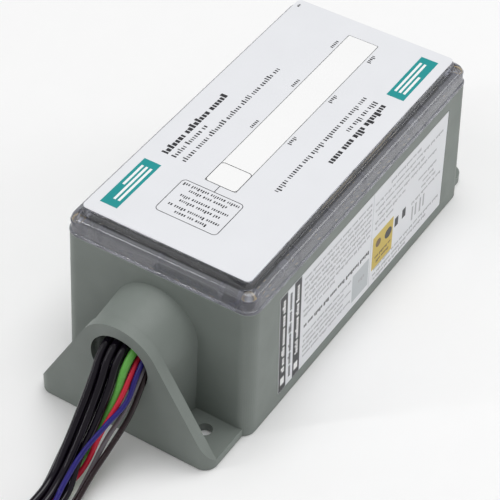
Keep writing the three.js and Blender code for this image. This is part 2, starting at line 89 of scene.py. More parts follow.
# Diameter, x and y of the hole in the board, and the (x, z) at which each lead crosses the stations.
LEADS = {
    "black_1": (3.3, (-15, -57), [(-8.4, 42.9), (-8.3, 42.6), (-8.1, 41), (-7.9, 37.8), (-7.7, 30.4),
                                  (-7.2, 19.4), (-6.8, 9.9), (-5.8, 4.1), (-5, 1.9)]),
    "black_2": (3.3, (-8, -57), [(-4.2, 43.2), (-4.2, 43.1), (-4, 42.8), (-3.9, 40.2), (-4.4, 33.2),
                                 (-4.2, 23.4), (-3.5, 12.6), (-2.6, 6.9), (-3.2, 5.3)]),
    "black_3": (3.3, (-1, -57), [(-0.5, 43.4), (-0.5, 43.2), (-0.5, 42), (-0.6, 38.4), (-1, 29.6),
                                 (-1.8, 15.6), (-4, 6.2), (-2.8, 2.1), (-1.6, 1.8)]),
    "black_4": (3.3, (-11.5, -65), [(-6, 46.8), (-6, 46.8), (-6.3, 46.6), (-6.3, 44.5), (-5.4, 38),
                                    (-4.6, 28.6), (-4.1, 17.2), (-3, 10.6), (-2.6, 8.9)]),
    "black_5": (3.3, (-4.5, -65), [(-2.1, 48.2), (-2.1, 48.1), (-2.3, 47.4), (-2.4, 45.1), (-1.8, 37.2),
                                   (-1.3, 26.4), (-0.6, 16.2), (0.5, 10.9), (0.9, 8.4)]),
    "black_6": (3.3, (2.5, -65), [(1.8, 48.2), (1.8, 48), (1.5, 46.9), (1.3, 44), (1.9, 35.2),
                                  (1.7, 22.9), (1.6, 12.6), (4.1, 6.2), (4, 4.8)]),
    "green": (3.3, (6.5, -65), [(5.3, 47), (5.2, 47), (5.1, 45.7), (4.7, 41.8), (4.4, 30.6),
                                (2.1, 17.2), (-0.4, 5.7), (0.8, 1.9), (1.9, 1.8)]),
    "red": (2.2, (9.5, -57), [(6, 43.2), (6.1, 43.2), (6.8, 42.4), (7.4, 39.4), (7.2, 32.2),
                              (4.8, 20.8), (2.9, 7.4), (0.8, 4.9), (0.6, 4.8)]),
    "blue": (2.1, (12, -65), [(8.6, 44.6), (8.7, 44.5), (9.3, 43), (9.7, 39.4), (9.6, 31),
                              (7.4, 26.4), (3.2, 17), (3.4, 12.2), (4.2, 8)]),
    "grey": (2.0, (14.5, -57), [(9.4, 41.6), (9.5, 41.6), (9.9, 40), (10, 35.6), (8.6, 25.6),
                                (6.6, 16.8), (5.9, 6.4), (6.5, 1.6), (7.3, 1.1)]),
    "brown": (2.4, (17, -57), [(10.2, 38.6), (10.3, 38.5), (10.7, 36.9), (11.1, 32), (10.2, 22.2),
                               (9, 15), (8.3, 9.2), (8.2, 3.7), (8.9, 2.8)]),
}
# The bundle past the last station: its middle's x and y, and the heading in degrees, 0 being -Y.
BUNDLE = [(0.1, -167, -14), (-3, -176, -24), (-7, -184, -28), (-11, -192, -24), (-14, -201, -12),
          (-15, -212, 0)]
BUNDLE_X = 1  # the bundle's middle at the last station
COIL_X, COIL_Y, COIL_R = 30, -225, 45
LAYER = 10.6  # how far the coil's second turn lies above its first
CLIMB_FROM, CLIMB = 2 * math.pi - 2.1, 1.1  # where on the first turn it starts to climb, and for how long
POINTS_PER_TURN = 20
LEAD_LENGTH = 660
STRIPPED = 9  # bare strands past the insulation
STRIPPED_INSIDE = 2  # and what of them is still inside it
STRAND_TWIST = 2.2  # radians
CORE_SHARE = 0.66  # the copper core's share of a lead's diameter
STRANDS_ACROSS = 3.1  # how many strands span the core, with their gaps
STRAND_FILL = 0.98  # what a strand fills of its place

# ---- the thread in the hub, of the pitch of a 3/4 in pipe thread ---------------------------------
THREAD_SECTION = [(12.93, -0.86), (12.3, -0.12), (12.3, 0.12), (12.93, 0.86)]  # radius and place along Y
THREAD_Y = -102.6
THREAD_PITCH = 1.81
THREAD_TURNS = 8.2
THREAD_STEPS = 48  # in one turn

# ---- the clear cover: points are its inset from the parting line's outline, and its height -------
COVER_CORNER = 5.5
CORNER_LOSS = 0.62  # how much smaller the corner's radius is for each mm of inset
WALL_FILLET = 2.6
OUTSIDE = [(0.0, 65.7), (0.0, 66.75), (0.12, 66.95), (0.55, 67.1), (0.6, 67.5), (0.8, 71.5)]
PLATFORM_SIDE = [(4.1, 74.1), (4.5, 74.2), (4.7, 74.55), (4.85, 76.8), (5.0, 77.25), (5.4, 77.5)]
INSIDE = [(7.3, 75.1), (7.1, 74.8), (7.1, 72.0), (6.8, 71.7), (4.3, 71.7), (3.4, 71.2), (3.1, 70.3),
          (2.95, 65.7)]
WEB = [(0.95, 67.2), (3.6, 66.4), (7.0, 70.9), (7.0, 71.62), (4.4, 73.9), (3.4, 73.8), (1.9, 73.0),
       (1.0, 71.3)]
WEB_HALF = 0.4  # half a web's thickness
WEB_X = (-28, 0, 28)
WEB_Y = (-51, -25.5, 0, 25.5, 51)
BOSS = [(2.75, 65.9), (3.9, 65.9), (4.0, 71.5), (2.75, 71.5)]  # radius and height
BOSS_X, BOSS_Y = 39, 81.7

# ---- small parts on the board --------------------------------------------------------------------
BOARD_BOSS_Y = 52  # the bosses under the board, which the pads leave clear
BOARD_BOSS_ROOM = 5
SIDE_PITCH, SIDE_COUNT, SIDE_START = 4.3, 34, -66
END_PITCH, END_COUNT, END_START, END_EDGE = 4, 17, -32, 80
PAD_X, PAD_SIZE = (37.9, 36.1), 1.7
CHIP_X, CHIP_SIZE = (34.6, 31.9), 1.8
END_PAD_SIZE = 1.8
END_CHIP_SIZE, END_CHIP_EDGES = 2.4, (3, 4.6)
PAD_SHARE, CHIP_SHARE = 0.45, 0.5  # how many of the places hold a pad or a chip
PAD_THICK, CHIP_THICK, BOARD_GAP = 0.08, 1.1, 0.02

# ---- marks in place of text, as shares of their height -------------------------------------------
WORD_BLOCKS = (3, 8)  # fewest and most blocks in a word
BLOCK_WIDTHS = [0.34, 0.46, 0.46, 0.56]
BLOCK_HEIGHTS = [0.68, 0.68, 0.68, 1.0]
BLOCK_GAP, THIN_GAP = 0.17, 0.4  # between blocks, and what thin ones add to it
WORD_GAP = 0.42
SMALL_WEIGHT = 0.7

# ---- print on the top label, measured from the box's middle --------------------------------------
PRINT = 0.03  # an ink's thickness
SIDE_SINK = 0.02  # how far the side label's print starts inside its film
LINE = 0.3  # a printed line's width
TITLE_START = 37.5
# A title's rows: where each ends, its x, height and weight.
TITLE_ROWS = [(9.5, -28, 3.1, 1.0), (-14, -24, 2.4, 0.6), (35, -19.3, 2.4, 0.6)]
MODE_Y = (61.5, 29.5, -2.5)  # the lamps' marks
MODE_BEFORE, MODE_AFTER, MODE_X, MODE_HEIGHT = 2.4, 3.4, -8.5, 1.9
CORNER_MARK = (76, 78.5, -36, 1.2)  # start, end, x and height
STRIP_HALF = 7.4  # half the indicator strip's width
STRIP_END, STRIP_CORNER = (-42, -29), 1.8
NOTE_HALF = 14.4
NOTE_BOX, NOTE_CORNER = (-67, -46), 2
NOTE_HEIGHT = 1.7
# The note's rows: y and half the length.
NOTE_ROWS = [(-47.6, 13), (-50.4, 9), (-54.1, 12), (-56.9, 10), (-60.6, 12), (-63.4, 8)]
BLOCK_X, BLOCK_Y = (26.2, 34.3), (44.5, 75)
BAR_START, BAR_HALF = 48.5, 0.55
BARS = [(30.25, 71), (32.3, 62), (28.2, 71)]  # x and end

# ---- print on the side label: y from the box's middle, and z -------------------------------------
PRINT_Z = (6.2, 59.6)
BANDS = [(-66.3, -61), (-55.8, -50.6)]
BAND_ROWS = (-62.2, -51.9)
BAND_ROW_Z = (56.6, 16)  # from the top down
BAND_ROW_HEIGHT, BAND_ROW_INSET = 2.3, 0.3
BAND_MARK_Y, BAND_MARK_Z = (-2.9, -0.1), (9.5, 13.5)
BETWEEN_ROW = (56.6, 9, -57.6, 2.1)  # start, end, place and height, as are the rows below
BOLD_ROW = (4.5, -48.5, 29.6, 2.1)
GREY_BOX_ROW = (1.5, -4.5, 18.5, 2)
STICKER_ROWS = [(23.5, 9.5, 21.3, 1.5), (22, 10, 18.4, 1.5)]
# Blocks of text: the first row's seed, the height, and each row's z, start and end.
SIDE_TEXT = [
    (80, 1.5, [(z, 4.5, -48.5) for z in (56, 53, 50.2, 47.3, 44.4, 41.5, 38.6)]),
    (90, 1.5, [(35.6, -24, -48.5)]),
    (91, 1.4, [(24, -9.8, -48.5), (21, -15.8, -48.5), (18.1, -9.8, -48.5), (15.2, -15.8, -48.5),
               (12.3, -9.8, -48.5)]),
    (100, 1.5, [(56.4, 46, 20), (52.6, 66, 7.8), (49, 50, 8), (45.4, 61, 8), (42, 34, 8), (38.6, 24, 8),
                (38.6, 62, 46), (35, 60, 50), (32, 62, 49), (28.6, 67, 41), (14.6, 67, 9), (11.6, 56, 9),
                (8.8, 38, 9)]),
]
UPRIGHT_BARS_Y = (42, 45, 49, 52)
UPRIGHT_BAR_WIDTH, UPRIGHT_BAR_Z = 1.3, (17.5, 25.5)
APPROVAL_BARS = [(26.5, 29.5), (33, 36)]
APPROVAL_Z = (25.5, 30.5)
GREY_BOX = (-8.5, 5, 9.3, 24.7)
DIVIDER = (5.9, 6.2, 6.4, 59.4)
STICKER = (7.8, 25, 14.7, 33.4)
STICKER_DISCS = [(21, 27, 3, 2.7), (12.4, 28, 2.2, 2.2)]  # middle and radii


# ---- materials -----------------------------------------------------------------------------------
def material(name, colour, roughness, metal=0.0, grain=0.0, grain_size=0.5, mottle=0.0, rough_swing=0.0,
             coat=0.0, specular=0.5):
    """A surface with fine grain in its relief, slow changes in its shade and uneven gloss."""
    made = bpy.data.materials.new(name)
    made.use_nodes = True
    tree = made.node_tree
    shader = tree.nodes["Principled BSDF"]
    shader.inputs["Base Color"].default_value = (*colour, 1)
    shader.inputs["Roughness"].default_value = roughness
    shader.inputs["Metallic"].default_value = metal
    shader.inputs["Coat Weight"].default_value = coat
    shader.inputs["Coat Roughness"].default_value = 0.08
    shader.inputs["Specular IOR Level"].default_value = specular
    place = tree.nodes.new("ShaderNodeTexCoord")

    def noise(size, detail):
        node = tree.nodes.new("ShaderNodeTexNoise")
        node.inputs["Scale"].default_value = 1 / (size * MM)
        node.inputs["Detail"].default_value = detail
        tree.links.new(place.outputs["Object"], node.inputs["Vector"])
        return node.outputs["Fac"]

    def spread(source, low, high):
        node = tree.nodes.new("ShaderNodeMapRange")
        node.inputs["From Min"].default_value = 0.3
        node.inputs["From Max"].default_value = 0.7
        node.inputs["To Min"].default_value = low
        node.inputs["To Max"].default_value = high
        tree.links.new(source, node.inputs["Value"])
        return node.outputs["Result"]

    if grain:
        bump = tree.nodes.new("ShaderNodeBump")
        bump.inputs["Strength"].default_value = grain
        bump.inputs["Distance"].default_value = 0.1 * MM
        tree.links.new(noise(grain_size, 4), bump.inputs["Height"])
        tree.links.new(bump.outputs["Normal"], shader.inputs["Normal"])
    if rough_swing:
        swing = spread(noise(9, 3), roughness - rough_swing, roughness + rough_swing)
        tree.links.new(swing, shader.inputs["Roughness"])
    if mottle:
        mix = tree.nodes.new("ShaderNodeMix")
        mix.data_type = "RGBA"
        mix.inputs["A"].default_value = (*[c * (1 - mottle) for c in colour], 1)
        mix.inputs["B"].default_value = (*[min(1, c * (1 + mottle)) for c in colour], 1)
        tree.links.new(spread(noise(14, 5), 0, 1), mix.inputs["Factor"])
        tree.links.new(mix.outputs["Result"], shader.inputs["Base Color"])
    return made


def clear_plastic(name, colour, roughness, transmission):
    """Clear polycarbonate; what it doesn't let through, it scatters."""
    made = material(name, colour, roughness)
    shader = made.node_tree.nodes["Principled BSDF"]
    shader.inputs["Transmission Weight"].default_value = transmission
    shader.inputs["IOR"].default_value = 1.58
    return made


MATERIALS = {
    "housing": material("moulded_grey_plastic", HOUSING, 0.5, grain=0.16, grain_size=0.45, mottle=0.035,
                        rough_swing=0.05, specular=0.45),
    "clear": clear_plastic("clear_polycarbonate", CLEAR, 0.0, 0.94),
    "clear_wall": clear_plastic("clear_polycarbonate_wall", CLEAR, 0.0, 0.78),
    # The webs and bosses: clear plastic with painted shade, darkened so they show as dark lines through
    # the wall
    "clear_web": clear_plastic("clear_polycarbonate_inside_shaded", CLEAR_INSIDE_SHADED, 0.03, 0.5),
    "gasket": material("gasket_rubber", (0.03, 0.03, 0.03), 0.7, grain=0.2, mottle=0.1),
    "film": material("label_film", FILM, 0.42, grain=0.03, grain_size=1.5, mottle=0.01, rough_swing=0.04),
    "white": material("white_film", WHITE, 0.4, grain=0.03, grain_size=1.5, mottle=0.006),
    "ink": material("dark_ink", INK, 0.42, grain=0.05, mottle=0.1),
    "teal": material("teal_ink", TEAL, 0.42, grain=0.05, mottle=0.04),
    "grey_ink": material("grey_ink", GREY_INK, 0.42, grain=0.05, mottle=0.04),
    "pale_grey_ink": material("pale_grey_ink", (0.52, 0.55, 0.57), 0.42, grain=0.05, mottle=0.03),
    "umber": material("umber_ink", (0.16, 0.09, 0.03), 0.42, grain=0.05, mottle=0.05),
    "yellow": material("yellow_ink", YELLOW, 0.42, grain=0.05, mottle=0.05),
    "steel": material("zinc_plated_steel", (0.55, 0.56, 0.57), 0.32, metal=1, grain=0.1, rough_swing=0.08),
    "brass": material("brass", (0.75, 0.55, 0.22), 0.3, metal=1, grain=0.1, rough_swing=0.08),
    "copper": material("tinned_copper", (0.85, 0.47, 0.30), 0.28, metal=1, grain=0.1, rough_swing=0.06),
    "gold": material("gold_plated_pad", (0.80, 0.62, 0.25), 0.3, metal=1, grain=0.05),
    "potting": material("potting_epoxy", (0.018, 0.018, 0.02), 0.25, grain=0.12, grain_size=4, mottle=0.1,
                        rough_swing=0.08),
    "board": material("solder_mask", (0.035, 0.036, 0.014), 0.35, grain=0.08, grain_size=1, mottle=0.08),
    "varistor": material("varistor_coating", (0.03, 0.03, 0.04), 0.45, grain=0.3, grain_size=1.5,
                         mottle=0.1),
    "fuse": material("fuse_sleeve", (0.55, 0.42, 0.19), 0.5, grain=0.2, mottle=0.08),
    "capacitor": material("capacitor_case", (0.52, 0.33, 0.04), 0.3, grain=0.05, mottle=0.05),
    "relay": material("relay_case", (0.03, 0.03, 0.032), 0.35, grain=0.1, mottle=0.08),
    "lamp": material("lamp_lens", (0.80, 0.90, 0.80), 0.12, mottle=0.03, coat=0.5),
    "black": material("black_insulation", BLACK_LEAD, 0.13, grain=0.03, grain_size=3, mottle=0.12,
                      rough_swing=0.03, specular=0.35),
    "tie": material("nylon", (0.02, 0.02, 0.02), 0.4, grain=0.15, mottle=0.08),
}
for colour_name, colour in LEAD_COLOURS.items():
    MATERIALS[colour_name] = material(f"{colour_name}_insulation", colour, 0.24, grain=0.05, grain_size=3,
                                      mottle=0.06, rough_swing=0.05, specular=0.4)


# ---- helpers -------------------------------------------------------------------------------------
def finish_piece(piece, look, slot, *replaced):
    """Gives a piece its material, rides it on the body and hides the CAD nodes it replaces; slot is not
    used.
    """
    piece.data.materials.clear()
    piece.data.materials.append(MATERIALS[look])
    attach(piece, "root")
    if replaced:
        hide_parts(*replaced)
    return piece


def mesh_piece(name, verts, faces, smooth_below=None):
    """A mesh from points in mm. Edges flatter than smooth_below degrees are shaded smooth."""
    mesh = bpy.data.meshes.new(name)
    mesh.from_pydata([Vector(v) * MM for v in verts], [], faces)
    build = bmesh.new()
    build.from_mesh(mesh)
    bmesh.ops.remove_doubles(build, verts=build.verts, dist=1e-7)
    bmesh.ops.recalc_face_normals(build, faces=build.faces)
    build.to_mesh(mesh)
    build.free()
    piece = bpy.data.objects.new(name, mesh)
    bpy.context.scene.collection.objects.link(piece)
    if smooth_below is not None:
        mesh.shade_smooth()
        mesh.set_sharp_from_angle(angle=math.radians(smooth_below))
    return piece


def dressed_node(name, look, bevel=0.0, segments=2, smooth_below=40):
    """A CAD node that stays, with rounded edges and its material."""
    piece = nodes[name]
    piece.data.materials.clear()
    piece.data.materials.append(MATERIALS[look])
    piece.data.shade_smooth()
    flat = piece.modifiers.new("planar", "DECIMATE")
    flat.decimate_type = "DISSOLVE"
    flat.angle_limit = math.radians(1.2)
    if bevel:
        rounding = piece.modifiers.new("edges", "BEVEL")
        rounding.width = bevel * MM
        rounding.segments = segments
        rounding.limit_method = "ANGLE"
        rounding.angle_limit = math.radians(smooth_below)
    normals = piece.modifiers.new("normals", "WEIGHTED_NORMAL")
    normals.keep_sharp = True
    return piece


def rounded_outline(half_x, half_y, r, per_corner=8):
    """The points of a rounded rectangle about the origin, anticlockwise."""
    points = []
    for corner, (sx, sy) in enumerate([(1, 1), (-1, 1), (-1, -1), (1, -1)]):
        for i in range(per_corner + 1):
            angle = math.radians(90 * (corner + i / per_corner))
            x = sx * (half_x - r) + r * math.cos(angle)
            y = sy * (half_y - r) + r * math.sin(angle)
            points.append((x, y))
    return points


def loft(rings):
    """Vertices and faces of a closed skin over rings of equal count, its first and last capped."""
    count = len(rings[0])
    verts = [point for ring in rings for point in ring]
    faces = [tuple(reversed(range(count))), tuple(range(len(verts) - count, len(verts)))]
    for low in range(0, len(verts) - count, count):
        for i in range(count):
            after = (i + 1) % count
            faces.append((low + i, low + after, low + count + after, low + count + i))
    return verts, faces


def prisms(outlines, place, thick):
    """Thin prisms over flat outlines; place turns (u, v, height) into a point in mm."""
    verts, faces = [], []
    for outline in outlines:
        start, count = len(verts), len(outline)
        verts += [place(u, v, 0) for u, v in outline] + [place(u, v, thick) for u, v in outline]
        faces.append(tuple(range(start, start + count)))
        faces.append(tuple(range(start + count, start + 2 * count)))
        for i in range(count):
            after = (i + 1) % count
            faces.append((start + i, start + after, start + count + after, start + count + i))
    return verts, faces


def rectangle(u0, u1, v0, v1):
    return [(u0, v0), (u1, v0), (u1, v1), (u0, v1)]


def frame_line(u0, u1, v0, v1, r, wide):
    """The outlines of a thin line around a rounded rectangle."""
    middle = ((u0 + u1) / 2, (v0 + v1) / 2)
    half = ((u1 - u0) / 2, (v1 - v0) / 2)
    outer = rounded_outline(half[0], half[1], r, 5)
    inner = rounded_outline(half[0] - wide, half[1] - wide, max(r - wide, 0.05), 5)
    shift = [[(u + middle[0], v + middle[1]) for u, v in line] for line in (outer, inner)]
    count = len(outer)
    pairs = [(i, (i + 1) % count) for i in range(count)]
    return [[shift[0][i], shift[0][j], shift[1][j], shift[1][i]] for i, j in pairs]


def dashes(start, end, across, height, seed, up=1, weight=1.0):
    """A line of generic marks in place of text: words of small blocks from start to end."""
    draw = random.Random(seed)
    outlines = []
    u = start
    step = 1 if end > start else -1
    while (end - u) * step > height:
        for _ in range(draw.randint(*WORD_BLOCKS)):
            wide = height * draw.choice(BLOCK_WIDTHS) * weight
            if (end - u) * step < wide:
                break
            tall = height * draw.choice(BLOCK_HEIGHTS)
            u0, u1 = sorted((u, u + step * wide))
            v0, v1 = sorted((across, across + up * tall))
            outlines.append(rectangle(u0, u1, v0, v1))
            u += step * (wide + (BLOCK_GAP + THIN_GAP * (1 - weight)) * height)
        u += step * WORD_GAP * height
    return outlines


# ---- camera and light ----------------------------------------------------------------------------
camera_data = bpy.data.cameras.new("camera")
camera_data.lens = CAMERA_LENS
camera_data.sensor_width = SENSOR_WIDTH
camera_data.clip_end = 20
camera = bpy.data.objects.new("camera", camera_data)
camera.location = Vector(CAMERA_PLACE) * MM
camera.rotation_euler = [math.radians(angle) for angle in CAMERA_TURN]
bpy.context.scene.collection.objects.link(camera)
bpy.context.scene.camera = camera
bpy.context.scene.view_settings.view_transform = "Standard"


def soft_light(name, place, target, size, power, height=None):
    """A round area light, or an upright strip where a height is given; metres and watts."""
    data = bpy.data.lights.new(name, "AREA")
    data.shape = "RECTANGLE" if height else "DISK"
    data.size = size
    if height:
        data.size_y = height
    data.energy = power
    lamp = bpy.data.objects.new(name, data)
    lamp.location = place
    direction = Vector(target) - Vector(place)
    lamp.rotation_euler = direction.to_track_quat("-Z", "Y").to_euler()
    lamp.visible_transmission = False
    bpy.context.scene.collection.objects.link(lamp)


soft_light("overhead", (0.1, 0.25, 1.6), (0, 0, 0.05), 1.2, 13)
soft_light("right_back", (1.0, 0.95, 0.6), (0, 0, 0.05), 0.7, 3)
soft_light("front_strip", (-0.6, -0.68, 0.76), (0, -0.13, 0.02), 0.05, 1.9, 0.9)

world = bpy.data.worlds.new("studio")
world.use_nodes = True
world.node_tree.nodes["Background"].inputs["Color"].default_value = (1, 1, 1, 1)
world.node_tree.nodes["Background"].inputs["Strength"].default_value = 0.43
bpy.context.scene.world = world

floor_mesh = bpy.data.meshes.new("floor")
floor_corners = [(-FLOOR_HALF, -FLOOR_HALF), (FLOOR_HALF, -FLOOR_HALF), (FLOOR_HALF, FLOOR_HALF),
                 (-FLOOR_HALF, FLOOR_HALF)]
floor_mesh.from_pydata([(x, y, FLOOR_Z) for x, y in floor_corners], [], [(0, 1, 2, 3)])
floor = bpy.data.objects.new("floor", floor_mesh)
floor.data.materials.append(material("studio_floor", (0.97, 0.97, 0.97), 0.8, mottle=0.004))
bpy.context.scene.collection.objects.link(floor)


# ---- leads ---------------------------------------------------------------------------------------
def climb(t):
    """How far the coil has risen after t radians."""
    share = min(1, max(0, (t - CLIMB_FROM) / CLIMB))
    return LAYER * share * share * (3 - 2 * share)


def lead_route(pad, across):
    """The lead's points in mm, from its hole in the board to the end of its coil."""
    x1, z1 = across[0]
    drop = PAD_Z - z1
    points = []
    for share, degrees in HOLE_BEND:
        angle = math.radians(degrees)
        points.append(Vector((pad[0] + (x1 - pad[0]) * share, pad[1] - drop * (1 - math.cos(angle)),
                              PAD_Z - drop * math.sin(angle))))
    points.append(Vector((x1, min(points[-1].y - 4, LEVEL_Y), z1)))
    points += [Vector((x, y, z)) for y, (x, z) in zip(STATION_Y, across)]
    offset, level = across[-1][0] - BUNDLE_X, across[-1][1]
    for x, y, heading in BUNDLE:
        angle = math.radians(heading)
        points.append(Vector((x + offset * math.cos(angle), y + offset * math.sin(angle), level)))
    radius = COIL_R - offset
    walked = sum((b - a).length for a, b in zip(points, points[1:]))
    straight = BUNDLE[-1][1] - COIL_Y
    turned_to = (LEAD_LENGTH - walked - straight) / radius
    steps = math.ceil(turned_to / (2 * math.pi) * POINTS_PER_TURN)
    for i in range(steps + 1):
        t = turned_to * i / steps
        x = COIL_X - radius * math.cos(t)
        y = COIL_Y - radius * math.sin(t)
        points.append(Vector((x, y, level + climb(t))))
    return points


def curve_piece(name, splines, radius, resolution=6):
    """Round wires, one along each list of points."""
    data = bpy.data.curves.new(name, "CURVE")
    data.dimensions = "3D"
    data.bevel_depth = radius * MM
    data.bevel_resolution = 4
    data.resolution_u = resolution
    data.use_fill_caps = True
    for points in splines:
        spline = data.splines.new("BEZIER")
        spline.bezier_points.add(len(points) - 1)
        for bezier, point in zip(spline.bezier_points, points):
            bezier.co = Vector(point) * MM
            bezier.handle_left_type = "AUTO"
            bezier.handle_right_type = "AUTO"
    piece = bpy.data.objects.new(name, data)
    bpy.context.scene.collection.objects.link(piece)
    return piece


def stripped_end(name, end, heading, radius):
    """Seven twisted strands that stand out of the cut insulation."""
    forward = heading.normalized()
    side = forward.cross(Vector((0, 0, 1))).normalized()
    up = side.cross(forward)
    strand = radius / STRANDS_ACROSS
    out = 2 * strand
    splines = [[end - forward * STRIPPED_INSIDE, end + forward * STRIPPED * 0.5, end + forward * STRIPPED]]
    for i in range(6):
        line = []
        for step in range(6):
            along = step / 5
            angle = i * math.pi / 3 + along * STRAND_TWIST
            ahead = along * (STRIPPED + STRIPPED_INSIDE) - STRIPPED_INSIDE
            around = side * (out * math.cos(angle)) + up * (out * math.sin(angle))
            line.append(end + forward * ahead + around)
        splines.append(line)
    return curve_piece(name, splines, strand * STRAND_FILL, 3)


tie = dressed_node("coil_tie", "tie", 0.5, 3)
for lead_name, (diameter, pad, across) in LEADS.items():
    route = lead_route(pad, across)
    look = lead_name.split("_")[0]
    lead = curve_piece(f"lead_{lead_name}_wire", [route], diameter / 2)
    finish_piece(lead, look, f"lead_{look}", f"lead_{lead_name}", "lead_coil")
    core = diameter / 2 * CORE_SHARE
    tip = stripped_end(f"lead_{lead_name}_strands", route[-1], route[-1] - route[-2], core)
    finish_piece(tip, "copper", f"lead_{look}")

# ---- base, gasket and what is inside -------------------------------------------------------------
dressed_node("base_housing", "housing", 0.7, 3, 35)
dressed_node("cover_gasket", "gasket")
dressed_node("potting_compound", "potting")
dressed_node("main_circuit_board", "board", 0.15)
dressed_node("hub_seal", "potting", 0.3)
dressed_node("alarm_relay", "relay", 0.5, 3)
dressed_node("alarm_sounder", "relay", 0.5, 3)
for i in range(1, 5):
    dressed_node(f"cover_screw_{i}", "steel", 0.25)
    dressed_node(f"cover_insert_{i}", "brass", 0.15)
    dressed_node(f"board_screw_{i}", "steel", 0.2)
    dressed_node(f"status_lamp_{i}", "lamp")
    dressed_node(f"thermal_disconnect_{i}", "fuse", 0.5, 3)
for i in range(1, 9):
    dressed_node(f"varistor_{i}", "varistor", 1.2, 4)
for i in range(1, 3):
    dressed_node(f"filter_capacitor_{i}", "capacitor", 0.6, 3)


# ---- thread in the hub ---------------------------------------------------------------------------
def hub_thread():
    """One helical ridge inside the hub."""
    rings = []
    for i in range(int(THREAD_TURNS * THREAD_STEPS) + 1):
        angle = i * 2 * math.pi / THREAD_STEPS
        along = THREAD_Y + THREAD_PITCH * i / THREAD_STEPS
        rings.append([(r * math.cos(angle), along + ahead, BORE_Z + r * math.sin(angle))
                      for r, ahead in THREAD_SECTION])
    return mesh_piece("hub_thread", *loft(rings), smooth_below=40)


finish_piece(hub_thread(), "housing", "housing")


# ---- clear cover ---------------------------------------------------------------------------------
def seam_ring(inset, z):
    """The parting line's outline, drawn in by the inset and lifted to z."""
    r = COVER_CORNER - CORNER_LOSS * inset
    outline = rounded_outline(SEAM_HALF[0] - inset, SEAM_HALF[1] - inset, r, 7)
    return [(x, y + BODY_Y, z) for x, y in outline]


def wall_fillet():
    """A quarter round from the wall's top into the shoulder."""
    wall, top = OUTSIDE[-1]
    middle = wall + WALL_FILLET
    angles = [math.radians(15 * i) for i in range(1, 7)]
    return [(middle - WALL_FILLET * math.cos(a), top + WALL_FILLET * math.sin(a)) for a in angles]


def cover_shell():
    """From the cavity's ceiling down the inside, round the wall's edge and up the outside to the top."""
    outer = [*OUTSIDE, *wall_fillet(), *PLATFORM_SIDE]
    return loft([seam_ring(*point) for point in [*INSIDE, *outer]])


def cover_web(x, y, turn):
    """A thin web from the wall to the platform, drawn across the near end and turned into place."""
    sides = [[Vector((side * WEB_HALF, inset, z)) for inset, z in WEB] for side in (-1, 1)]
    spin = Matrix.Rotation(turn, 3, "Z")
    placed = [[spin @ point + Vector((x, y + BODY_Y, 0)) for point in ring] for ring in sides]
    return loft(placed)


def boss_ring(x, y):
    """The boss around a corner screw, turned from its section."""
    steps = 28
    sides = len(BOSS)
    verts, faces = [], []
    for i in range(steps):
        angle = i * 2 * math.pi / steps
        verts += [(x + r * math.cos(angle), y + BODY_Y + r * math.sin(angle), z) for r, z in BOSS]
        after = (i + 1) % steps * sides
        for j in range(sides):
            k = (j + 1) % sides
            faces.append((i * sides + j, after + j, after + k, i * sides + k))
    return verts, faces


def merged(parts):
    """Several lists of vertices and faces as one."""
    verts, faces = [], []
    for part_verts, part_faces in parts:
        start = len(verts)
        verts += part_verts
        faces += [tuple(index + start for index in face) for face in part_faces]
    return verts, faces


def clear_cover():
    """The cover in place of its plain solid: shell, webs and screw bosses, which cast no shadow."""
    shell = mesh_piece("cover_shell", *cover_shell(), smooth_below=50)
    finish_piece(shell, "clear", "clear_plastic", "clear_cover")
    shell.data.materials.append(MATERIALS["clear_wall"])
    for face in shell.data.polygons:
        outward = face.normal.x * face.center.x + face.normal.y * (face.center.y - BODY_Y * MM) > 0
        if outward and face.center.z < PLATFORM_SIDE[0][1] * MM:
            face.material_index = 1
    half_x, half_y = SEAM_HALF
    webs = []
    for x in WEB_X:
        webs.append(cover_web(x, -half_y, 0))
        webs.append(cover_web(x, half_y, math.pi))
    for y in WEB_Y:
        webs.append(cover_web(half_x, y, math.pi / 2))
        webs.append(cover_web(-half_x, y, -math.pi / 2))
    inner = mesh_piece("cover_webs", *merged(webs), smooth_below=30)
    finish_piece(inner, "clear_web", "clear_plastic", "clear_cover")
    bosses = [boss_ring(x, y) for x in (-BOSS_X, BOSS_X) for y in (-BOSS_Y, BOSS_Y)]
    collars = mesh_piece("cover_bosses", *merged(bosses), smooth_below=40)
    finish_piece(collars, "clear_web", "clear_plastic", "clear_cover")
    for piece in (shell, inner, collars):
        piece.visible_shadow = False


clear_cover()


# ---- small parts on the board --------------------------------------------------------------------
def board_details():
    """Gold pads along the board's edges and small parts beside them."""
    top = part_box("main_circuit_board")[1].z / MM + BOARD_GAP
    draw = random.Random(7)
    pads, chips = [], []
    for side in (-1, 1):
        for i in range(SIDE_COUNT):
            y = SIDE_START + i * SIDE_PITCH
            clear = abs(abs(y - BODY_Y) - BOARD_BOSS_Y) > BOARD_BOSS_ROOM
            if clear and draw.random() < PAD_SHARE:
                pads.append(rectangle(side * PAD_X[0], side * PAD_X[1], y, y + PAD_SIZE))
            if draw.random() < CHIP_SHARE:
                chips.append(rectangle(side * CHIP_X[0], side * CHIP_X[1], y, y + CHIP_SIZE))
        y = BODY_Y + side * END_EDGE
        chip_from, chip_to = (y - side * edge for edge in END_CHIP_EDGES)
        for i in range(END_COUNT):
            x = END_START + i * END_PITCH
            if draw.random() < PAD_SHARE:
                pads.append(rectangle(x, x + END_PAD_SIZE, y, y - side * END_PAD_SIZE))
            if draw.random() < CHIP_SHARE:
                chips.append(rectangle(x, x + END_CHIP_SIZE, chip_from, chip_to))

    def on_board(x, y, height):
        return x, y, top + height

    gold = mesh_piece("board_pads", *prisms(pads, on_board, PAD_THICK))
    finish_piece(gold, "gold", "circuit_board")
    small = mesh_piece("board_chips", *prisms(chips, on_board, CHIP_THICK))
    finish_piece(small, "relay", "relay_case")


board_details()

